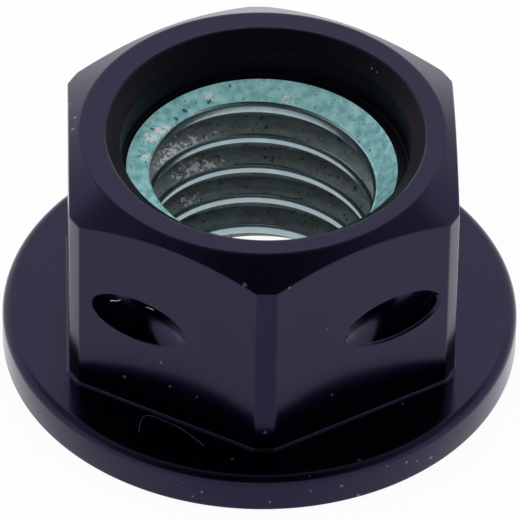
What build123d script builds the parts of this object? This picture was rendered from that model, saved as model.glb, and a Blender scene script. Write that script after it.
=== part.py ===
"""Sprocket nut: a flanged hexagon nut with cross-drilled corners for locking wire.

Millimetres. +Z runs along the thread, from the bearing face at z = 0 to the crown, and one corner of
the hexagon points along -Y. The thread is M8 x 1.25, right hand. Its helix is left to the surface
model, so the bore here is the plain hole that was tapped.
"""
from build123d import *
from math import radians, tan
import os

# Thread
thread_diameter = 8.0
tapping_diameter = 6.9

# Hexagon, for a 12 mm spanner
across_flats = 11.9
corner_diameter = 13.4
nut_height = 8.4
crown_face_diameter = 11.24
crown_angle = 32.0
root_radius = 0.1

# Flange
flange_diameter = 16.0
flange_thickness = 1.3
flange_edge_radius = 0.3
bearing_edge_radius = 0.1

# Mouth of the thread, from the crown down
mouth_chamfer = 0.43
recess_diameter = 9.0
recess_depth = 1.47
mouth_countersink_margin = 0.17
mouth_countersink_angle = 140.0

# Mouth of the thread at the bearing face
bearing_countersink_margin = 0.7
bearing_countersink_angle = 100.0

# Locking wire holes, through every second corner
wire_hole_diameter = 1.6
wire_hole_rim = 0.24
wire_hole_rise = 3.54
wire_hole_count = 3
first_wire_corner = 90.0

# How far a cutter runs past the face that it leaves
OVERRUN = 1.0


def turned(*outline):
    """Solid of revolution about Z from (radius, height) points."""
    return revolve(Plane.XZ * make_face(Polyline(*outline, close=True)), Axis.Z)


def countersink(margin, included_angle):
    """Radius and depth of a countersink that opens the tapped hole past its thread by a margin."""
    radius = thread_diameter / 2 + margin
    return radius, (radius - tapping_diameter / 2) / tan(radians(included_angle / 2))


def flange():
    """Flat washer face with a rolled upper edge and a broken lower one."""
    disc = extrude(Circle(flange_diameter / 2), flange_thickness)
    disc = fillet(disc.edges().group_by(Axis.Z)[-1], flange_edge_radius)
    return fillet(disc.edges().group_by(Axis.Z)[0], bearing_edge_radius)


def hexagon():
    """Hexagon whose corners and crown are turned: the cone meets each flat in a curved edge."""
    corner_radius = corner_diameter / 2
    crown_radius = crown_face_diameter / 2
    shoulder = nut_height - (corner_radius - crown_radius) * tan(radians(crown_angle))
    barrel = turned(
        (0, 0),
        (corner_radius, 0),
        (corner_radius, shoulder),
        (crown_radius, nut_height),
        (0, nut_height),
    )
    outline = RegularPolygon(across_flats / 2, 6, major_radius=False, rotation=30)
    return barrel & extrude(outline, nut_height)


def with_root_fillet(body):
    """The body with its hexagon blended into the flange."""
    on_flange = body.edges().filter_by_position(Axis.Z, flange_thickness, flange_thickness)
    root = on_flange.filter_by(lambda edge: edge.length < across_flats)
    return fillet(root, root_radius)


def bore():
    """Cutter for the recess, both countersinks and the tapped hole."""
    tapped = tapping_diameter / 2
    recess_radius = recess_diameter / 2
    recess_floor = nut_height - recess_depth
    mouth_radius, mouth_depth = countersink(mouth_countersink_margin, mouth_countersink_angle)
    bearing_radius, bearing_depth = countersink(bearing_countersink_margin, bearing_countersink_angle)
    return turned(
        (0, -OVERRUN),
        (bearing_radius, -OVERRUN),
        (bearing_radius, 0),
        (tapped, bearing_depth),
        (tapped, recess_floor - mouth_depth),
        (mouth_radius, recess_floor),
        (recess_radius, recess_floor),
        (recess_radius, nut_height - mouth_chamfer),
        (recess_radius + mouth_chamfer, nut_height),
        (recess_radius + mouth_chamfer, nut_height + OVERRUN),
        (0, nut_height + OVERRUN),
    )


def wire_holes():
    """Drills through every second corner, square to the corner's own radius."""
    reach = (corner_diameter - wire_hole_diameter) / 2 - wire_hole_rim
    height = flange_thickness + wire_hole_rise
    drill = Pos(reach, 0, height) * Rot(90, 0, 0) * Cylinder(wire_hole_diameter / 2, across_flats)
    step = 360 / wire_hole_count
    return [Rot(0, 0, first_wire_corner + turn * step) * drill for turn in range(wire_hole_count)]


def sprocket_nut():
    body = with_root_fillet(flange() + hexagon())
    return body - bore() - wire_holes()


os.makedirs("parts", exist_ok=True)
export_step(sprocket_nut(), "parts/sprocket_nut.step")
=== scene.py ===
import math

import bmesh
import bpy
from bpy.props import FloatProperty, FloatVectorProperty, IntProperty, PointerProperty
from mathutils import Matrix, Vector


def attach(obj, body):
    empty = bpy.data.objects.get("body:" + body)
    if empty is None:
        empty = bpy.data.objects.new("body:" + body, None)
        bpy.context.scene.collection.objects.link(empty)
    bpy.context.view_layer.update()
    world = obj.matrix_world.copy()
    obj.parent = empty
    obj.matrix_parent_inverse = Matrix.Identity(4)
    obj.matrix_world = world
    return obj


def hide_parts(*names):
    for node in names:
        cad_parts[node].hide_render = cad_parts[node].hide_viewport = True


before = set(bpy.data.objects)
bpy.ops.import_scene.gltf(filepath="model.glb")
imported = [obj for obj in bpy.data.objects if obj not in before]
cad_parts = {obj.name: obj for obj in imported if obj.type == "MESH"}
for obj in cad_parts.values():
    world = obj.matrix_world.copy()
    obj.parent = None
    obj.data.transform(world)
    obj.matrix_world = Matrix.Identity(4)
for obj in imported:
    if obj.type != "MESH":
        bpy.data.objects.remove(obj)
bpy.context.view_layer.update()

bl_info = {
    "name": "Sprocket Nut",
    "version": (1, 0, 0),
    "blender": (4, 5, 0),
    "location": "3D View > Sidebar > Nut",
    "description": "Models a flanged sprocket nut with a counterbored mouth and three wire holes",
    "category": "Add Mesh",
}

MM = 0.001
SMOOTH_ANGLE = math.radians(7)
SHARP_ANGLE = math.radians(22)
MERGE = 1e-6
BLACK, DULL_SHADED, TEAL, FLANK, CREST = 0, 1, 2, 3, 4
WIRE_CORNERS = (90, 210, 330)

# Marks on the nut as (plan angle in degrees, distance from the axis, height, size), in millimetres
BARE_SPOTS = ((156, 3.68, 6.76, 0.22), (149, 3.66, 6.74, 0.18), (144, 3.60, 6.72, 0.15), (170, 3.54, 6.70, 0.20),
              (177, 3.54, 6.70, 0.15), (114, 3.88, 6.83, 0.12), (77, 3.57, 6.70, 0.14), (72, 3.50, 6.68, 0.17),
              (39, 3.44, 6.66, 0.14), (150, 3.72, 5.25, 0.30), (144, 3.72, 5.22, 0.38), (138, 3.72, 5.20, 0.38),
              (131, 3.75, 5.20, 0.32), (125, 3.75, 5.22, 0.26), (119, 3.75, 5.24, 0.20), (111, 3.75, 5.24, 0.15),
              (103, 3.75, 5.22, 0.13), (95, 3.75, 5.19, 0.12), (86, 3.75, 5.16, 0.10), (134, 3.75, 3.97, 0.28),
              (128, 3.75, 4.05, 0.26), (122, 3.75, 4.12, 0.24), (115, 3.75, 4.06, 0.22), (109, 3.75, 4.01, 0.16),
              (103, 3.75, 3.95, 0.14), (128, 3.75, 2.80, 0.20), (122, 3.75, 2.77, 0.20), (115, 3.75, 2.62, 0.16))
GRIME_SPOTS = ((115, 3.66, 6.74, 0.10), (129, 3.69, 6.76, 0.08), (136, 3.62, 6.73, 0.08), (150, 3.87, 6.82, 0.08),
               (168, 3.69, 6.76, 0.07), (64, 3.97, 6.86, 0.06), (51, 3.50, 6.67, 0.07), (43, 3.46, 6.66, 0.08),
               (37, 3.48, 6.67, 0.10), (32, 3.56, 6.70, 0.14), (20, 3.79, 6.79, 0.07), (7, 3.62, 6.73, 0.07),
               (38, 3.75, 4.05, 0.10), (49, 3.75, 4.02, 0.06), (127, 3.75, 5.05, 0.12), (106, 3.75, 5.10, 0.10))
# Pale dust on the nut. The spots 4.50 to 4.70 mm from the axis, at 10° to 43°, are a painted highlight along the foot
# of the mouth chamfer.
DUST_AND_GLINT_SPOTS = ((-47, 6.30, 1.30, 0.05), (-147, 5.42, 1.30, 0.05), (-141, 5.34, 1.30, 0.04), (43, 4.70, 8.18, 0.04),
              (40, 4.70, 8.18, 0.03), (30, 4.56, 8.08, 0.04), (26, 4.85, 8.32, 0.04), (21, 4.73, 8.22, 0.03),
              (19, 4.86, 8.33, 0.05), (26, 4.50, 8.00, 0.05), (22, 4.50, 7.96, 0.05), (18, 4.50, 7.92, 0.05),
              (14, 4.50, 7.88, 0.05), (10, 4.50, 7.84, 0.04), (-72, 6.08, 5.47, 0.04), (-100, 7.60, 1.27, 0.04),
              (-68, 7.71, 1.30, 0.05), (-57, 8.00, 0.78, 0.05), (-50, 8.00, 0.44, 0.07), (-73, 8.00, 0.70, 0.05),
              (-69, 8.00, 0.12, 0.06), (-80, 7.93, 1.27, 0.06), (-80, 8.00, 0.71, 0.04), (-89, 8.00, 0.37, 0.05),
              (-98, 7.13, 1.30, 0.06), (-104, 8.00, 0.58, 0.04), (-106, 8.00, 0.33, 0.04), (-96, 6.46, 7.88, 0.07),
              (-84, 6.54, 7.80, 0.05), (-122, 5.97, 3.47, 0.05), (-119, 5.97, 2.62, 0.05), (-110, 6.04, 2.61, 0.04),
              (-134, 6.13, 2.30, 0.06), (-70, 6.04, 2.65, 0.05), (164, 6.18, 8.05, 0.09), (172, 5.79, 8.29, 0.06),
              (177, 5.81, 8.28, 0.06), (-90, 6.70, 2.06, 0.06), (-62, 7.98, 0.95, 0.04), (-54, 8.00, 0.62, 0.05))


def linear(hex_colour):
    """An sRGB hex colour as the linear values that Blender's sockets take."""
    channels = [int(hex_colour[i:i + 2], 16) / 255 for i in (0, 2, 4)]
    return tuple(c / 12.92 if c <= 0.04045 else ((c + 0.055) / 1.055) ** 2.4 for c in channels)


def length(name, description, millimetres):
    """A length property, shown in the scene's units."""
    return FloatProperty(name=name, description=description, default=millimetres * MM,
                         subtype="DISTANCE", unit="LENGTH", precision=5)


def angle(name, description, degrees):
    """An angle property, shown in degrees."""
    return FloatProperty(name=name, description=description, default=math.radians(degrees),
                         subtype="ANGLE", unit="ROTATION")


def colour(name, description, hex_colour):
    """A colour property with an sRGB hex default."""
    return FloatVectorProperty(name=name, description=description, default=linear(hex_colour),
                               subtype="COLOR", size=3, min=0.0, max=1.0)


class NutSizes(bpy.types.PropertyGroup):
    """Sizes of the turned and milled nut."""
    steps: IntProperty(name="Steps per turn", description="Faces round each turned surface", default=216)
    across_flats: length("Across flats", "Hexagon width between opposite flats", 11.9)
    corner_diameter: length("Corner diameter", "Turned diameter over the hexagon's corners", 13.4)
    nut_height: length("Nut height", "From the bearing face to the crown", 8.4)
    crown_face_diameter: length("Crown face diameter", "Outside of the flat ring on top", 11.24)
    crown_angle: angle("Crown angle", "Slope of the crown below the flat ring", 32)
    root_radius: length("Root radius", "Fillet between hexagon and flange", 0.1)
    flange_diameter: length("Flange diameter", "Outside of the flange", 16.0)
    flange_thickness: length("Flange thickness", "From the bearing face to the flange's top", 1.3)
    flange_edge: length("Flange edge radius", "Rounding of the flange's upper edge", 0.3)
    bearing_edge: length("Bearing edge radius", "Rounding of the flange's lower edge", 0.1)
    mouth_chamfer: length("Mouth chamfer", "Width of the chamfer inside the flat ring", 0.47)
    mouth_depth: length("Mouth depth", "Height of the chamfer inside the flat ring", 0.43)
    mouth_shift_x: length("Mouth run-out, X", "How far the recess sits off the nut's axis", 0.1)
    mouth_shift_y: length("Mouth run-out, Y", "How far the recess sits off the nut's axis", -0.06)
    recess_diameter: length("Recess diameter", "Counterbore above the thread", 8.92)
    recess_depth: length("Recess depth", "From the crown to the foot of the recess", 1.47)
    recess_draft: length("Recess draft", "How much narrower the recess is at its foot, on the radius", 0.03)
    cone_diameter: length("Mouth cone diameter", "Wide end of the cone that leads into the thread", 8.34)
    cone_depth: length("Mouth cone depth", "Height of the cone that leads into the thread", 0.262)
    lead_height: length("Lead-in height", "Height of the cone's inner edge on the +X side", 6.234)
    lead_round: length("Lead-in rounding", "Rounding of the cone's inner edge", 0.13)
    tapping_diameter: length("Tapping diameter", "Bore over the thread's crests", 6.9)
    lower_cone_diameter: length("Lower cone diameter", "Wide end of the cone in the bearing face", 9.24)
    lower_cone_depth: length("Lower cone depth", "Height of the cone in the bearing face", 1.049)
    edge_break: length("Edge break", "Width of the small bevel on the machined edges", 0.04)
    thread_diameter: length("Thread diameter", "Major diameter of the right-hand thread", 8.0)
    pitch: length("Pitch", "Rise of the thread in one turn", 1.25)
    groove_root: length("Groove root", "Width of the thread's groove at its bottom", 0.275)
    crest_round: length("Crest rounding", "Radius of the edges of the thread's crests", 0.24)
    groove_height: length("Groove height", "Height of a groove's middle on the +X side", 4.117)
    wire_hole_diameter: length("Wire hole diameter", "Drilled holes for lock wire", 1.6)
    wire_hole_reach: length("Wire hole reach", "From the nut's axis to each hole's axis", 5.66)
    wire_hole_height: length("Wire hole height", "From the bearing face to each hole's axis", 4.84)
    wire_hole_break: length("Wire hole edge break", "Depth of the deburred edge round each mouth", 0.02)
    wire_hole_chip: length("Wire hole chip", "Depth of the broken edge at one mouth", 0.06)
    lint_thickness: length("Lint thickness", "Thread of lint on the flange", 0.02)
    burr_thickness: length("Burr thickness", "Burrs at a wire hole's mouth", 0.03)


class NutFinish(bpy.types.PropertyGroup):
    """Colours of the nut's surfaces and of the dirt on it; the dull black paints shade in the recess."""
    black: colour("Black anodised", "Violet-black dye of the outside", "120b30")
    sheen: colour("Sheen", "Tint of the dye's gloss at a low angle", "faf8ff")
    # Painted shade: the dull black and its sheen are a darker copy of the black dye with a weaker gloss, for the recess
    # and its chamfer.
    dull: colour("Dull black", "The same dye where the tool left the surface grooved", "08060c")
    dull_shaded_sheen: colour("Dull sheen", "Tint of the grooved surface's gloss", "d2c6e6")
    teal: colour("Teal coating", "Thin conversion coating in the bore", "a4d8da")
    teal_dark: colour("Dark teal coating", "The coating where it lies thicker", "72b3b7")
    flank: colour("Thread flanks", "Coated metal burnished grey by the tap", "869394")
    crest: colour("Thread crests", "Metal burnished bright, with a trace of the coating", "a6b3ba")
    bare: colour("Bare aluminium", "Metal where the coating is worn through", "dfe0e2")
    grime: colour("Grime", "Dark dirt in the thread", "10181a")
    # The dust colour also paints the highlight along the foot of the mouth chamfer.
    dust: colour("Dust", "Pale dust and lint", "9a9db4")


class StageSettings(bpy.types.PropertyGroup):
    """Camera and floor."""
    azimuth: angle("Camera azimuth", "Plan angle of the camera seen from the nut", -91.883)
    elevation: angle("Camera elevation", "Height of the camera above the horizon", 41.912)
    roll: angle("Camera roll", "Lean of the picture", -0.939)
    distance: length("Camera distance", "From the camera to the point it is aimed at", 297.62)
    lens: FloatProperty(name="Lens", description="Focal length in millimetres", default=665.21)
    aim: FloatVectorProperty(name="Aim", description="Point that the camera is aimed at",
                             default=(-0.0000127, 0.0, 0.0031197), subtype="TRANSLATION", unit="LENGTH")
    hood_elevation: angle("Hood elevation", "Height above the horizon of the hood's middle", 68)
    hood_reach: angle("Hood reach", "From the hood's middle to its edge, seen from the nut", 62)
    hood_distance: length("Hood distance", "From the nut to the hood", 600)
    hood_edge: FloatProperty(name="Hood edge", description="Brightness of the hood at its edge", default=0.42)
    floor_size: length("Floor size", "Side of the square floor", 2000)
    floor_colour: colour("Floor colour", "Matte white paper", "f4f4f6")


def start_clean():
    """Leaves edit mode and selects nothing."""
    if bpy.context.mode != "OBJECT":
        bpy.ops.object.mode_set(mode="OBJECT")
    bpy.ops.object.select_all(action="DESELECT")


def pick(piece, *others):
    """Selects the named pieces only, with the first of them active."""
    start_clean()
    for each in (piece, *others):
        each.select_set(True)
    bpy.context.view_layer.objects.active = piece


def apply_place(piece):
    """Moves the piece's place into its mesh."""
    pick(piece)
    bpy.ops.object.transform_apply(location=True, rotation=True, scale=True)


def edit(piece, mode="EDGE"):
    """Opens the piece for editing with nothing selected."""
    pick(piece)
    bpy.ops.object.mode_set(mode="EDIT")
    bpy.ops.mesh.select_mode(type=mode)
    bpy.ops.mesh.select_all(action="DESELECT")


def select(piece, kind, test):
    """Selects the elements that pass the test, of kind verts, edges or faces, in edit mode."""
    mesh = bmesh.from_edit_mesh(piece.data)
    for element in getattr(mesh, kind):
        if test(element):
            element.select_set(True)
    mesh.select_flush_mode()
    bmesh.update_edit_mesh(piece.data, loop_triangles=False, destructive=False)


def middle(element):
    """The middle of an edge or face."""
    return sum((v.co for v in element.verts), Vector()) / len(element.verts)


def radius_of(point):
    """A point's distance from the nut's axis."""
    return math.hypot(point.x, point.y)


def on_ring(radius, height):
    """A test for vertices on the circle of that radius at that height."""
    return lambda v: abs(radius_of(v.co) - radius) < 5e-6 and abs(v.co.z - height) < 5e-6


def is_sharp(edge):
    """Whether the edge's two faces meet at a machined corner."""
    return len(edge.link_faces) == 2 and edge.calc_face_angle(0) > SHARP_ANGLE


def turned(name, outline, steps, cap=False):
    """A turned surface: a circle at the first (radius, height), extruded and scaled through the rest."""
    radius, height = outline[0]
    start_clean()
    bpy.ops.mesh.primitive_circle_add(vertices=steps, radius=radius, location=(0, 0, height),
                                      fill_type="NGON" if cap else "NOTHING")
    piece = bpy.context.object
    piece.name = piece.data.name = name
    apply_place(piece)
    pick(piece)
    bpy.ops.object.mode_set(mode="EDIT")
    bpy.ops.mesh.select_mode(type="EDGE")
    bpy.ops.mesh.select_all(action="SELECT")
    for next_radius, next_height in outline[1:]:
        bpy.ops.mesh.extrude_region_move(TRANSFORM_OT_translate={"value": (0, 0, next_height - height)})
        growth = next_radius / radius
        bpy.ops.transform.resize(value=(growth, growth, 1), center_override=(0, 0, 0))
        radius, height = next_radius, next_height
    start_clean()
    return piece


def arc(centre_radius, centre_height, radius, first, last, count):
    """Outline points on an arc, without its first point; angles in degrees from the outward direction."""
    points = []
    for i in range(1, count + 1):
        turn = math.radians(first + (last - first) * i / count)
        points.append((centre_radius + radius * math.cos(turn), centre_height + radius * math.sin(turn)))
    return points


def bevel_selected(offset, segments=2):
    """Bevels the selected edges."""
    bpy.ops.mesh.bevel(offset=offset, offset_type="OFFSET", segments=segments, profile=0.5,
                       affect="EDGES", clamp_overlap=False)


def cut(piece, *cutters):
    """Cuts the cutters out of the piece, and removes them."""
    for cutter in cutters:
        pick(piece)
        modifier = piece.modifiers.new("Cut", "BOOLEAN")
        modifier.operation = "DIFFERENCE"
        modifier.solver = "EXACT"
        modifier.object = cutter
        bpy.ops.object.modifier_apply(modifier=modifier.name)
        bpy.data.objects.remove(cutter)


def hexagon_blank(size):
    """The crowned bar above the flange, milled to six flats, open below and above."""
    corner = size.corner_diameter / 2
    ring = size.crown_face_diameter / 2
    shoulder = size.nut_height - (corner - ring) * math.tan(size.crown_angle)
    foot = size.flange_thickness + size.root_radius
    blank = turned("sprocket_nut_body", [(corner, foot), (corner, shoulder), (ring, size.nut_height)],
                   size.steps, cap=True)
    for i in range(6):
        turn = math.radians(60 * i)
        outward = Vector((math.cos(turn), math.sin(turn), 0))
        edit(blank, "FACE")
        bpy.ops.mesh.select_all(action="SELECT")
        bpy.ops.mesh.bisect(plane_co=outward * size.across_flats / 2, plane_no=outward, use_fill=True,
                            clear_outer=True, clear_inner=False, threshold=1e-7)
    edit(blank, "EDGE")
    select(blank, "edges", lambda e: is_sharp(e) and foot + 5e-6 < middle(e).z < size.nut_height - 5e-6)
    bevel_selected(size.edge_break)
    edit(blank, "FACE")
    select(blank, "faces", lambda f: abs(f.normal.z) > 0.999)
    bpy.ops.mesh.delete(type="FACE")
    start_clean()
    return blank


def bore_and_flange(size):
    """The ring, the mouth, the bore, the bearing face and the flange, in one turned surface."""
    recess, cone, tapping = size.recess_diameter / 2, size.cone_diameter / 2, size.tapping_diameter / 2
    lower, rim = size.lower_cone_diameter / 2, size.flange_diameter / 2
    step = size.nut_height - size.recess_depth
    corner = step - size.cone_depth
    slope = math.atan2(size.cone_depth, cone - tapping)
    rounding = size.lead_round / math.tan((math.pi / 2 - slope) / 2)
    outline = [(size.crown_face_diameter / 2, size.nut_height), (recess + size.mouth_chamfer, size.nut_height),
               (recess, size.nut_height - size.mouth_depth), (recess - size.recess_draft, step), (cone, step),
               (tapping + size.lead_round * math.cos(slope), corner + size.lead_round * math.sin(slope))]
    outline += arc(tapping + rounding, corner - size.lead_round, rounding, 90 + math.degrees(slope), 180, 12)
    outline += [(tapping, size.lower_cone_depth), (lower, 0), (rim - size.bearing_edge, 0)]
    outline += arc(rim - size.bearing_edge, size.bearing_edge, size.bearing_edge, -90, 0, 14)
    outline.append((rim, size.flange_thickness - size.flange_edge))
    outline += arc(rim - size.flange_edge, size.flange_thickness - size.flange_edge, size.flange_edge, 0, 90, 15)
    outline.append((rim - size.flange_edge - 0.02 * MM, size.flange_thickness))
    piece = turned("turned_surface", outline, size.steps)
    edit(piece)
    select(piece, "edges", is_sharp)
    bevel_selected(size.edge_break)
    edit(piece, "VERT")
    select(piece, "verts", lambda v: v.co.z > step - 0.01 * MM
           and abs(radius_of(v.co) - recess - size.mouth_chamfer / 2) < size.mouth_chamfer / 2 + 0.1 * MM)
    bpy.ops.transform.translate(value=(size.mouth_shift_x, size.mouth_shift_y, 0))
    start_clean()
    wind_lead_in(piece, size, corner)
    return piece


def lead_in(size, turn):
    """Height of the cone's inner edge at a plan angle: the helix of the first crest, which meets the recess's floor
    and drops back to its start where the mouth's front hides it."""
    turn = (turn + math.pi / 3) % (2 * math.pi) - math.pi / 3
    floor = size.nut_height - size.recess_depth - 0.05 * MM
    drop = math.radians(262)
    winding = min(floor, size.lead_height + size.pitch * min(turn, drop) / (2 * math.pi))
    start = size.lead_height - size.pitch / 6
    back = max(0.0, (turn - drop) / (math.radians(300) - drop))
    return winding + (start - winding) * back


def wind_lead_in(piece, size, corner):
    """Lifts the rounded inner edge of the cone step by step into the helix of the first crest."""
    outer = size.cone_diameter / 2 - 0.1 * MM
    edit(piece, "VERT")
    for i in range(size.steps):
        turn = 2 * math.pi * i / size.steps
        ray = Vector((math.cos(turn), math.sin(turn), 0))
        bpy.ops.mesh.select_all(action="DESELECT")
        select(piece, "verts", lambda v: v.co.z > 3 * MM and radius_of(v.co) < outer
               and v.co.dot(ray) > radius_of(v.co) * 0.9999)
        bpy.ops.transform.translate(value=(0, 0, lead_in(size, turn) - corner))
    start_clean()


def root_fillet(blank, size):
    """Runs the hexagon's open foot out onto the flange in a fillet."""
    foot = size.flange_thickness + size.root_radius
    half = size.across_flats / 2
    edit(blank)
    select(blank, "edges", lambda e: e.is_boundary and abs(middle(e).z - foot) < 5e-6)
    reach, height, count = 0.0, foot, 14
    points = []
    for i in range(1, count + 1):
        turn = math.radians(90 * i / count)
        points.append((size.root_radius * (1 - math.cos(turn)), foot - size.root_radius * math.sin(turn)))
    points.append((size.root_radius + 0.02 * MM, size.flange_thickness))
    for next_reach, next_height in points:
        bpy.ops.mesh.extrude_region_move(TRANSFORM_OT_translate={"value": (0, 0, next_height - height)})
        growth = (half + next_reach) / (half + reach)
        bpy.ops.transform.resize(value=(growth, growth, 1), center_override=(0, 0, 0))
        reach, height = next_reach, next_height
    start_clean()


def closed_body(size):
    """The nut before drilling and tapping."""
    blank = hexagon_blank(size)
    root_fillet(blank, size)
    rest = bore_and_flange(size)
    pick(blank, rest)
    bpy.ops.object.join()
    edit(blank)
    bpy.ops.mesh.select_all(action="SELECT")
    bpy.ops.mesh.remove_doubles(threshold=MERGE)
    bpy.ops.mesh.select_all(action="DESELECT")
    select(blank, "edges", lambda e: e.is_boundary)
    bpy.ops.mesh.bridge_edge_loops()
    bpy.ops.mesh.select_all(action="SELECT")
    bpy.ops.mesh.normals_make_consistent(inside=False)
    bpy.ops.mesh.select_all(action="DESELECT")
    ring = on_ring(size.crown_face_diameter / 2, size.nut_height)
    select(blank, "edges", lambda e: all(ring(v) for v in e.verts))
    bevel_selected(size.edge_break)
    start_clean()
    return blank


def thread_cutter(size):
    """The helical groove of the right-hand thread, with rounded crest edges, as a closed solid. It stands out of the
    bearing face, and its upper end lies where the mouth's front hides it."""
    tapping, major = size.tapping_diameter / 2, size.thread_diameter / 2
    flank = math.radians(30)
    corner = size.groove_root / 2 + (major - tapping) * math.tan(flank)
    lift, rounding = 0.0015 * MM, size.crest_round
    middle_radius = tapping - lift + rounding
    middle_height = corner + (rounding + lift) * math.sin(flank) / math.cos(flank)
    outline = [(tapping - lift, middle_height)]
    for i in range(1, 10):
        turn = math.radians(60) * i / 9
        outline.append((middle_radius - rounding * math.cos(turn), middle_height - rounding * math.sin(turn)))
    outline.append((major, size.groove_root / 2))
    inner, lip = tapping - 0.35 * MM, outline[0][0]
    start_clean()
    bpy.ops.mesh.primitive_plane_add(size=1, location=((inner + lip) / 2, 0, 0), rotation=(math.pi / 2, 0, 0))
    cutter = bpy.context.object
    cutter.name = "thread_cutter"
    cutter.scale = (lip - inner, 2 * middle_height, 1)
    apply_place(cutter)
    edit(cutter)
    select(cutter, "edges", lambda e: abs(middle(e).x - lip) < 1e-6)
    for (radius, height), (next_radius, next_height) in zip(outline, outline[1:]):
        bpy.ops.mesh.extrude_region_move(TRANSFORM_OT_translate={"value": (next_radius - radius, 0, 0)})
        bpy.ops.transform.resize(value=(1, 1, next_height / height), center_override=(0, 0, 0))
    bpy.ops.mesh.select_all(action="SELECT")
    bpy.ops.mesh.dissolve_faces()
    bpy.ops.mesh.delete(type="ONLY_FACE")
    start_clean()
    turns = 6
    end = math.radians(255) + math.pi / size.steps
    start = size.groove_height + size.pitch * (end / (2 * math.pi) + 1 - turns)
    cutter.rotation_euler = (0, 0, end)
    cutter.location = (0, 0, start)
    apply_place(cutter)
    screw = cutter.modifiers.new("Helix", "SCREW")
    screw.axis = "Z"
    screw.angle = 2 * math.pi
    screw.screw_offset = size.pitch
    screw.iterations = turns
    screw.steps = screw.render_steps = size.steps
    bpy.ops.object.modifier_apply(modifier=screw.name)
    for height in (start, start + turns * size.pitch):
        edit(cutter)
        select(cutter, "edges", lambda e: e.is_boundary and abs(middle(e).z - height) < 1 * MM)
        bpy.ops.mesh.edge_face_add()
    bpy.ops.mesh.select_all(action="SELECT")
    bpy.ops.mesh.normals_make_consistent(inside=False)
    start_clean()
    return cutter


def wire_hole_cutters(size, corner, chipped):
    """The drill and the two deburring cones of the wire hole across one corner, at its plan angle. The mouth on the
    chipped side has a larger, off-centre cone, where its edge broke away."""
    across, along = Vector((math.cos(corner), math.sin(corner), 0)), Vector((-math.sin(corner), math.cos(corner), 0))
    centre = across * size.wire_hole_reach + Vector((0, 0, size.wire_hole_height))
    radius = size.wire_hole_diameter / 2
    start_clean()
    bpy.ops.mesh.primitive_cylinder_add(vertices=72, radius=radius, depth=12 * MM, location=centre,
                                        rotation=(math.pi / 2, 0, corner))
    drill = bpy.context.object
    apply_place(drill)
    cutters = [drill]
    for side in (-1, 1):
        face = corner + side * math.radians(30)
        normal = Vector((math.cos(face), math.sin(face), 0))
        travel = (size.across_flats / 2 - normal.dot(centre)) / normal.dot(along)
        mouth = centre + along * travel
        inward, outward = size.wire_hole_chip if side == chipped else size.wire_hole_break, 0.15 * MM
        if side == chipped:
            mouth = mouth + Vector((-normal.y, normal.x, -0.3)) * size.wire_hole_chip * 1.6
        start_clean()
        bpy.ops.mesh.primitive_cone_add(vertices=72, radius1=radius, radius2=radius + inward + outward,
                                        depth=inward + outward, location=(0, 0, (outward - inward) / 2))
        cone = bpy.context.object
        apply_place(cone)
        cone.scale = (1, 2, 1)
        apply_place(cone)
        cone.rotation_euler = (0, math.pi / 2, face)
        cone.location = mouth
        apply_place(cone)
        cutters.append(cone)
    return cutters


def finish_at(point, size):
    """Which finish lies at a point of the surface."""
    tapping, cone = size.tapping_diameter / 2, size.cone_diameter / 2
    mouth = size.recess_diameter / 2 + size.mouth_chamfer
    radius = radius_of(point)
    if radius > cone or point.z > size.nut_height - size.recess_depth + 0.01 * MM:
        in_recess = radius < mouth + 0.1 * MM and 5 * MM < point.z < size.nut_height - 0.02 * MM
        # The recess and its chamfer take the darker black, which paints their shade.
        return DULL_SHADED if in_recess else BLACK
    lower = size.lower_cone_diameter / 2 - point.z * (size.lower_cone_diameter / 2 - tapping) / size.lower_cone_depth
    if radius < tapping + 0.07 * MM and point.z < size.nut_height - size.recess_depth - size.cone_depth:
        return CREST
    on_lead_in = point.z > lead_in(size, math.atan2(point.y, point.x)) - size.lead_round - 0.02 * MM
    return TEAL if on_lead_in or abs(radius - lower) < 0.01 * MM else FLANK


def new_material(name):
    """A new node material and its surface shader."""
    material = bpy.data.materials.new(name)
    material.use_nodes = True
    tree = material.node_tree
    return material, tree, tree.nodes["Principled BSDF"]


def add(tree, kind, settings=None, inputs=None):
    """Adds a node with its settings; an input is a value, or an output socket that is linked to it."""
    made = tree.nodes.new("ShaderNode" + kind)
    for name, value in (settings or {}).items():
        setattr(made, name, value)
    for name, value in (inputs or {}).items():
        if isinstance(value, bpy.types.NodeSocket):
            tree.links.new(value, made.inputs[name])
        else:
            made.inputs[name].default_value = value
    return made


def place_of(tree):
    """The place on the nut, in metres."""
    return add(tree, "TexCoord").outputs["Object"]


def noise(tree, place, grain, detail=2.0):
    """Noise with grains of a real size."""
    return add(tree, "TexNoise", inputs={"Vector": place, "Scale": 1 / grain, "Detail": detail}).outputs["Fac"]


def spread(tree, value, low, high, to_low=0.0, to_high=1.0):
    """A value's range, mapped to another."""
    return add(tree, "MapRange", inputs={"Value": value, "From Min": low, "From Max": high, "To Min": to_low,
                                         "To Max": to_high}).outputs["Result"]


def maths(tree, operation, first, second):
    """The result of a sum on two values."""
    return add(tree, "Math", {"operation": operation}, {0: first, 1: second}).outputs[0]


def mixed(tree, share, first, second):
    """Two colours mixed; each is a linear colour or a socket."""
    first, second = ((*c, 1) if isinstance(c, (tuple, list)) or hasattr(c, "to_tuple") or hasattr(c, "hsv") else c
                     for c in (first, second))
    return add(tree, "Mix", {"data_type": "RGBA"}, {0: share, 6: first, 7: second}).outputs[2]


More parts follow.
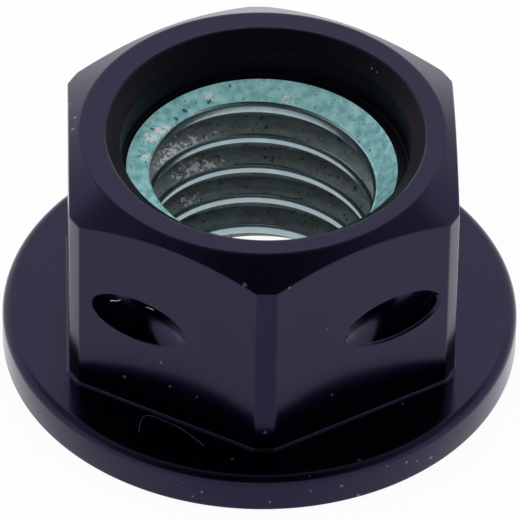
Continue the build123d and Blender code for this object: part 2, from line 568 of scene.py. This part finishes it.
def spotted(tree, place, spots, ragged, grain=0.09):
    """A mask of the marks in a list, with edges broken up by a fine noise of that grain in millimetres."""
    nearest = 9.0
    for plan, reach, height, size in spots:
        spot = direction(math.radians(plan), 0) * reach * MM + Vector((0, 0, height * MM))
        away = add(tree, "VectorMath", {"operation": "DISTANCE"}, {0: place, 1: spot}).outputs["Value"]
        nearest = maths(tree, "MINIMUM", maths(tree, "DIVIDE", away, size * MM), nearest)
    broken = maths(tree, "ADD", nearest, spread(tree, noise(tree, place, grain * MM), 0.3, 0.7, -ragged, ragged))
    return spread(tree, broken, 1.0, 0.8)


def dusty(tree, place):
    """A mask of dust grains: a few placed ones, and others sown thinly over the nut."""
    cells = add(tree, "TexVoronoi", inputs={"Vector": place, "Scale": 1 / (0.5 * MM)})
    chosen = maths(tree, "GREATER_THAN", add(tree, "SeparateColor", inputs={0: cells.outputs["Color"]}).outputs[0], 0.7)
    grain = spread(tree, cells.outputs["Distance"], 0.05, 0.02)
    sown = maths(tree, "MULTIPLY", grain, chosen)
    return maths(tree, "MULTIPLY", maths(tree, "MAXIMUM", sown, spotted(tree, place, DUST_AND_GLINT_SPOTS, 0.4)), 0.3)


def black_anodised(finish):
    """Anodised aluminium, dyed black with a violet cast and sealed: smooth enough to mirror the room softly. Pale dust
    lies on it; the grains are drawn a little large, so that they show."""
    material, tree, shader = new_material("black_anodised_aluminium")
    shader.inputs["Coat Weight"].default_value = 0.42
    shader.inputs["Coat Roughness"].default_value = 0.16
    shader.inputs["Specular Tint"].default_value = (*finish.sheen, 1)
    place = place_of(tree)
    grain = noise(tree, place, 0.12 * MM)
    dust = dusty(tree, place)
    bump = add(tree, "Bump", inputs={"Height": grain, "Strength": 0.04, "Distance": 0.01 * MM})
    tree.links.new(mixed(tree, dust, finish.black, finish.dust), shader.inputs["Base Color"])
    tree.links.new(spread(tree, dust, 0.0, 1.0, 1.0, 0.0), shader.inputs["Metallic"])
    tree.links.new(maths(tree, "MAXIMUM", spread(tree, grain, 0.3, 0.7, 0.19, 0.27), dust), shader.inputs["Roughness"])
    tree.links.new(bump.outputs["Normal"], shader.inputs["Normal"])
    return material


def dull_shaded_anodised(finish):
    """The same anodising in the recess and its chamfer, made rougher by the tool's fine grooves. Its darker base and
    weaker, greyer gloss are painted shade. Its pale spots are dust, and along the chamfer's foot a painted highlight.
    """
    material, tree, shader = new_material("dull_anodised_aluminium")
    # Painted shade: a weaker, greyer gloss and a darker base than the black outside.
    shader.inputs["Roughness"].default_value = 0.42
    shader.inputs["Specular IOR Level"].default_value = 0.12
    shader.inputs["Specular Tint"].default_value = (*finish.dull_shaded_sheen, 1)
    place = place_of(tree)
    # Pale spots: dust, and a painted highlight along the foot of the chamfer.
    dust = maths(tree, "MULTIPLY", spotted(tree, place, DUST_AND_GLINT_SPOTS, 0.4), 0.3)
    tree.links.new(mixed(tree, dust, finish.dull, finish.dust), shader.inputs["Base Color"])
    return material


def teal_coated(finish):
    """Machined aluminium under a thin teal conversion coating: matt and mottled, worn through to the metal in places,
    with dark dirt in it."""
    material, tree, shader = new_material("teal_coated_aluminium")
    place = place_of(tree)
    thick = spread(tree, noise(tree, place, 0.3 * MM, 7.0), 0.36, 0.64)
    coating = mixed(tree, thick, finish.teal, finish.teal_dark)
    specks = spread(tree, noise(tree, place, 0.11 * MM, 3.0), 0.64, 0.70)
    dirt = maths(tree, "MAXIMUM", specks, spotted(tree, place, GRIME_SPOTS, 0.5))
    worn = spotted(tree, place, BARE_SPOTS, 0.8, 0.12)
    soiled = mixed(tree, maths(tree, "MULTIPLY", dirt, 0.85), coating, finish.grime)
    tree.links.new(mixed(tree, worn, soiled, finish.bare), shader.inputs["Base Color"])
    tree.links.new(spread(tree, worn, 0.0, 1.0, 0.3, 0.45), shader.inputs["Metallic"])
    tree.links.new(spread(tree, thick, 0.0, 1.0, 0.4, 0.55), shader.inputs["Roughness"])
    bump = add(tree, "Bump", inputs={"Height": thick, "Strength": 0.15, "Distance": 0.02 * MM})
    tree.links.new(bump.outputs["Normal"], shader.inputs["Normal"])
    return material


def tapped_flanks(finish):
    """Tapped aluminium under the same coating, burnished grey by the tap, streaked along the thread and soiled."""
    material, tree, shader = new_material("tapped_aluminium")
    place = place_of(tree)
    along = add(tree, "Mapping", inputs={"Vector": place, "Scale": (1, 1, 5)}).outputs[0]
    streak = spread(tree, noise(tree, along, 0.5 * MM, 4.0), 0.35, 0.65)
    dirt = maths(tree, "MAXIMUM", spread(tree, noise(tree, place, 0.13 * MM, 3.0), 0.62, 0.68),
                 spotted(tree, place, GRIME_SPOTS, 0.5))
    worn = spotted(tree, place, BARE_SPOTS, 0.8, 0.12)
    metal = mixed(tree, streak, finish.flank, [0.65 * c for c in finish.flank])
    soiled = mixed(tree, maths(tree, "MULTIPLY", dirt, 0.85), metal, finish.grime)
    tree.links.new(mixed(tree, worn, soiled, finish.bare), shader.inputs["Base Color"])
    shader.inputs["Metallic"].default_value = 0.5
    shader.inputs["Roughness"].default_value = 0.35
    return material


def burnished_crests(finish):
    """The thread's crests, burnished bright by the stud, with a trace of the coating left."""
    material, tree, shader = new_material("burnished_aluminium")
    place = place_of(tree)
    left = spread(tree, noise(tree, place, 0.3 * MM, 4.0), 0.45, 0.7, 0.0, 0.35)
    shader.inputs["Metallic"].default_value = 1.0
    tree.links.new(mixed(tree, left, finish.crest, finish.teal), shader.inputs["Base Color"])
    shader.inputs["Roughness"].default_value = 0.2
    return material


def lint_fibre(finish):
    """A thread of cotton lint: pale, matt and half see-through to the eye, so it is drawn grey."""
    material, tree, shader = new_material("cotton_lint")
    shade = spread(tree, noise(tree, place_of(tree), 0.4 * MM), 0.4, 0.6, 0.02, 0.12)
    tree.links.new(mixed(tree, shade, finish.black, finish.dust), shader.inputs["Base Color"])
    shader.inputs["Roughness"].default_value = 0.9
    return material


def bright_burr(finish):
    """Raw aluminium torn up by the drill, without any anodising."""
    material, tree, shader = new_material("torn_aluminium")
    shade = spread(tree, noise(tree, place_of(tree), 0.05 * MM), 0.4, 0.6)
    tree.links.new(mixed(tree, shade, finish.bare, finish.flank), shader.inputs["Base Color"])
    shader.inputs["Metallic"].default_value = 0.8
    shader.inputs["Roughness"].default_value = 0.4
    return material


def strand(name, points, thickness, material):
    """A fine strand through points given in millimetres, as a mesh on its own."""
    start_clean()
    bpy.ops.curve.primitive_nurbs_path_add()
    line = bpy.context.object
    spline = line.data.splines[0]
    while len(spline.points) > len(points):
        pick(line)
        bpy.ops.object.mode_set(mode="EDIT")
        bpy.ops.curve.select_all(action="DESELECT")
        line.data.splines[0].points[-1].select = True
        bpy.ops.curve.delete(type="VERT")
        start_clean()
        spline = line.data.splines[0]
    for point, place in zip(spline.points, points):
        point.co = (*(c * MM for c in place), 1)
    spline.order_u = 3
    spline.use_endpoint_u = True
    spline.resolution_u = 12
    line.data.bevel_depth = thickness / 2
    line.data.bevel_resolution = 2
    line.data.use_fill_caps = True
    pick(line)
    bpy.ops.object.convert(target="MESH")
    piece = bpy.context.object
    piece.name = piece.data.name = name
    apply_place(piece)
    edit(piece)
    bpy.ops.mesh.select_all(action="SELECT")
    bpy.ops.mesh.normals_make_consistent(inside=False)
    start_clean()
    piece.data.materials.append(material)
    bpy.ops.object.shade_smooth_by_angle(angle=math.radians(60))
    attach(piece, "root")
    return piece


def set_up_world():
    """White surroundings for what the camera and the gloss see, and a soft even fill for the rest."""
    world = bpy.data.worlds.new("studio")
    bpy.context.scene.world = world
    world.use_nodes = True
    tree = world.node_tree
    tree.nodes.clear()
    light = add(tree, "LightPath")
    seen = add(tree, "Math", {"operation": "MAXIMUM"}, {0: light.outputs["Is Camera Ray"],
                                                        1: light.outputs["Is Glossy Ray"]})
    seen = add(tree, "Math", {"operation": "MAXIMUM"}, {0: seen.outputs[0],
                                                        1: light.outputs["Is Transmission Ray"]})
    strength = add(tree, "MapRange", inputs={"Value": seen.outputs[0], "To Min": 0.9, "To Max": 1.0})
    background = add(tree, "Background", inputs={"Color": (1, 1, 1, 1), "Strength": strength.outputs["Result"]})
    output = add(tree, "OutputWorld", inputs={"Surface": background.outputs[0]})
    return output


def floor_material(settings):
    """Matte white paper. The camera and the gloss see it mostly lit up, with the nut's shadow left faint on it. The
    gloss also sees a painted shade just in front of the nut, which darkens the facet of the front corner."""
    material = bpy.data.materials.new("white_paper")
    material.use_nodes = True
    tree = material.node_tree
    tree.nodes.clear()
    light = add(tree, "LightPath")
    seen = add(tree, "Math", {"operation": "MAXIMUM"}, {0: light.outputs["Is Camera Ray"],
                                                        1: light.outputs["Is Transmission Ray"]})
    place = add(tree, "TexCoord").outputs["Object"]
    # Painted shade for the gloss: the floor's glow dims towards a point just in front of the nut.
    away = add(tree, "VectorMath", {"operation": "DISTANCE"}, {0: place, 1: (-0.4 * MM, -13 * MM, 0)})
    shade = add(tree, "MapRange", inputs={"Value": away.outputs["Value"], "From Min": 2.4 * MM, "From Max": 6 * MM,
                                          "To Min": 0.2, "To Max": 0.92})
    mirrored = add(tree, "Math", {"operation": "MULTIPLY"}, {0: light.outputs["Is Glossy Ray"],
                                                             1: shade.outputs["Result"]})
    seen = add(tree, "Math", {"operation": "MAXIMUM"}, {0: seen.outputs[0], 1: mirrored.outputs[0]})
    share = add(tree, "Math", {"operation": "MULTIPLY"}, {0: seen.outputs[0], 1: 0.94})
    paper = add(tree, "BsdfDiffuse", inputs={"Color": (*settings.floor_colour, 1)})
    glow = add(tree, "Emission", inputs={"Color": (1, 1, 1, 1), "Strength": 1.0})
    mix = add(tree, "MixShader", inputs={0: share.outputs[0], 1: paper.outputs[0], 2: glow.outputs[0]})
    add(tree, "OutputMaterial", inputs={"Surface": mix.outputs[0]})
    return material


def softbox(name, place, size, power):
    """A square area light aimed at the nut."""
    start_clean()
    bpy.ops.object.light_add(type="AREA", location=place)
    lamp = bpy.context.object
    lamp.name = name
    lamp.data.shape = "SQUARE"
    lamp.data.size = size
    lamp.data.energy = power
    lamp.rotation_euler = (Vector((0, 0, 0.004)) - Vector(place)).to_track_quat("-Z", "Y").to_euler()
    return lamp


def direction(azimuth, elevation):
    """A unit vector from its plan angle and its height above the horizon."""
    level = math.cos(elevation)
    return Vector((level * math.cos(azimuth), level * math.sin(azimuth), math.sin(elevation)))


def dark_hood(settings):
    """A painted reflection: a faintly glowing grey hood over the front of the nut for the gloss to mirror, darkest
    round the camera. Views don't show it.
    """
    material = bpy.data.materials.new("grey_hood")
    material.use_nodes = True
    tree = material.node_tree
    tree.nodes.clear()
    place = add(tree, "VectorMath", {"operation": "NORMALIZE"}, {0: add(tree, "TexCoord").outputs["Object"]})
    near = add(tree, "VectorMath", {"operation": "DOT_PRODUCT"},
               {0: place.outputs[0], 1: direction(settings.azimuth, math.radians(45))})
    tone = add(tree, "MapRange", inputs={"Value": near.outputs["Value"], "From Min": 0.5, "From Max": 0.95,
                                         "To Min": settings.hood_edge, "To Max": 0.04})
    glow = add(tree, "Emission", inputs={"Color": (1, 1, 1, 1), "Strength": tone.outputs["Result"]})
    add(tree, "OutputMaterial", inputs={"Surface": glow.outputs[0]})
    toward = direction(settings.azimuth, settings.hood_elevation)
    start_clean()
    bpy.ops.mesh.primitive_uv_sphere_add(segments=64, ring_count=32, radius=settings.hood_distance)
    hood = bpy.context.object
    hood.name = "grey_hood"
    edit(hood, "FACE")
    bpy.ops.mesh.select_all(action="SELECT")
    bpy.ops.mesh.bisect(plane_co=toward * settings.hood_distance * math.cos(settings.hood_reach), plane_no=toward,
                        clear_inner=True, clear_outer=False)
    start_clean()
    hood.data.materials.append(material)
    hood.visible_camera = hood.visible_diffuse = False
    return hood


class NUT_OT_body(bpy.types.Operator):
    """Models the nut: flange, milled hexagon, crown, counterbore, tapped bore and three wire holes"""
    bl_idname = "sprocket_nut.make_body"
    bl_label = "Make the nut"

    def execute(self, context):
        size, finish = context.scene.nut_sizes, context.scene.nut_finish
        body = closed_body(size)
        for corner, chipped in zip(WIRE_CORNERS, (0, 0, -1)):
            cut(body, *wire_hole_cutters(size, math.radians(corner), chipped))
        cut(body, thread_cutter(size))
        edit(body)
        bpy.ops.mesh.select_all(action="SELECT")
        bpy.ops.mesh.remove_doubles(threshold=MERGE)
        bpy.ops.mesh.normals_make_consistent(inside=False)
        start_clean()
        if len(body.data.polygons) < 1000:
            raise RuntimeError("the nut's body was not cut")
        body.data.materials.clear()
        for make in (black_anodised, dull_shaded_anodised, teal_coated, tapped_flanks, burnished_crests):
            body.data.materials.append(make(finish))
        for face in body.data.polygons:
            face.material_index = finish_at(face.center, size)
        pick(body)
        bpy.ops.object.shade_smooth_by_angle(angle=SMOOTH_ANGLE)
        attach(body, "root")
        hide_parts("sprocket_nut")
        return {"FINISHED"}


class NUT_OT_litter(bpy.types.Operator):
    """Lays a thread of lint on the flange and raises two burrs at a wire hole's mouth"""
    bl_idname = "sprocket_nut.make_litter"
    bl_label = "Make the lint and burrs"

    def execute(self, context):
        size, finish = context.scene.nut_sizes, context.scene.nut_finish
        fibre, burr = lint_fibre(finish), bright_burr(finish)
        top = 1.315
        strand("lint", ((-3.83, -5.87, top), (-3.79, -4.92, top), (-3.02, -5.34, top), (-2.35, -5.84, top),
                        (-1.85, -6.48, top)), size.lint_thickness, fibre)
        strand("burr_left", ((-4.69, -4.17, 5.22), (-4.60, -4.25, 5.32), (-4.46, -4.34, 5.36), (-4.38, -4.37, 5.46)),
               size.burr_thickness, burr)
        strand("burr_top", ((-3.62, -4.80, 5.53), (-3.50, -4.87, 5.57), (-3.38, -4.93, 5.52)), size.burr_thickness, burr)
        return {"FINISHED"}


class NUT_OT_stage(bpy.types.Operator):
    """Lays the floor and sets the lights, the surroundings and the camera"""
    bl_idname = "sprocket_nut.make_stage"
    bl_label = "Make the stage"

    def execute(self, context):
        settings = context.scene.nut_stage
        start_clean()
        bpy.ops.mesh.primitive_plane_add(size=settings.floor_size, location=(0, 0, 0))
        floor = context.object
        floor.name = "floor"
        floor.data.materials.append(floor_material(settings))
        set_up_world()
        dark_hood(settings)
        softbox("rear_softbox", direction(math.radians(95), math.radians(46)) * 0.9, 1.0, 0.6)
        softbox("side_softbox", direction(math.radians(135), math.radians(20)) * 0.9, 0.6, 0.25)
        start_clean()
        bpy.ops.object.camera_add()
        camera = context.object
        camera.name = "camera"
        backward = direction(settings.azimuth, settings.elevation)
        right = Vector((0, 0, 1)).cross(backward).normalized()
        upright = backward.cross(right)
        up = upright * math.cos(settings.roll) + right * math.sin(settings.roll)
        side = up.cross(backward)
        turn = Matrix((side, up, backward)).transposed().to_4x4()
        camera.matrix_world = Matrix.Translation(Vector(settings.aim) + backward * settings.distance) @ turn
        camera.data.lens = settings.lens
        camera.data.sensor_width = 36
        camera.data.clip_start = 0.01
        camera.data.clip_end = 20
        context.scene.camera = camera
        context.scene.view_settings.view_transform = "Standard"
        return {"FINISHED"}


class NUT_PT_panel(bpy.types.Panel):
    """Sizes, finishes and the steps that build the nut"""
    bl_idname = "NUT_PT_panel"
    bl_label = "Sprocket Nut"
    bl_space_type = "VIEW_3D"
    bl_region_type = "UI"
    bl_category = "Nut"

    def draw(self, context):
        for group in (context.scene.nut_sizes, context.scene.nut_finish, context.scene.nut_stage):
            box = self.layout.box()
            for name in group.__annotations__:
                box.prop(group, name)
        for operator in STEPS:
            self.layout.operator(operator.bl_idname)


STEPS = (NUT_OT_stage, NUT_OT_body, NUT_OT_litter)
CLASSES = (NutSizes, NutFinish, StageSettings, *STEPS, NUT_PT_panel)


def register():
    for each in CLASSES:
        bpy.utils.register_class(each)
    bpy.types.Scene.nut_sizes = PointerProperty(type=NutSizes)
    bpy.types.Scene.nut_finish = PointerProperty(type=NutFinish)
    bpy.types.Scene.nut_stage = PointerProperty(type=StageSettings)


def unregister():
    for name in ("nut_sizes", "nut_finish", "nut_stage"):
        delattr(bpy.types.Scene, name)
    for each in reversed(CLASSES):
        bpy.utils.unregister_class(each)


def main():
    register()
    bpy.ops.sprocket_nut.make_stage()
    bpy.ops.sprocket_nut.make_body()
    bpy.ops.sprocket_nut.make_litter()


if __name__ == "__main__":
    main()
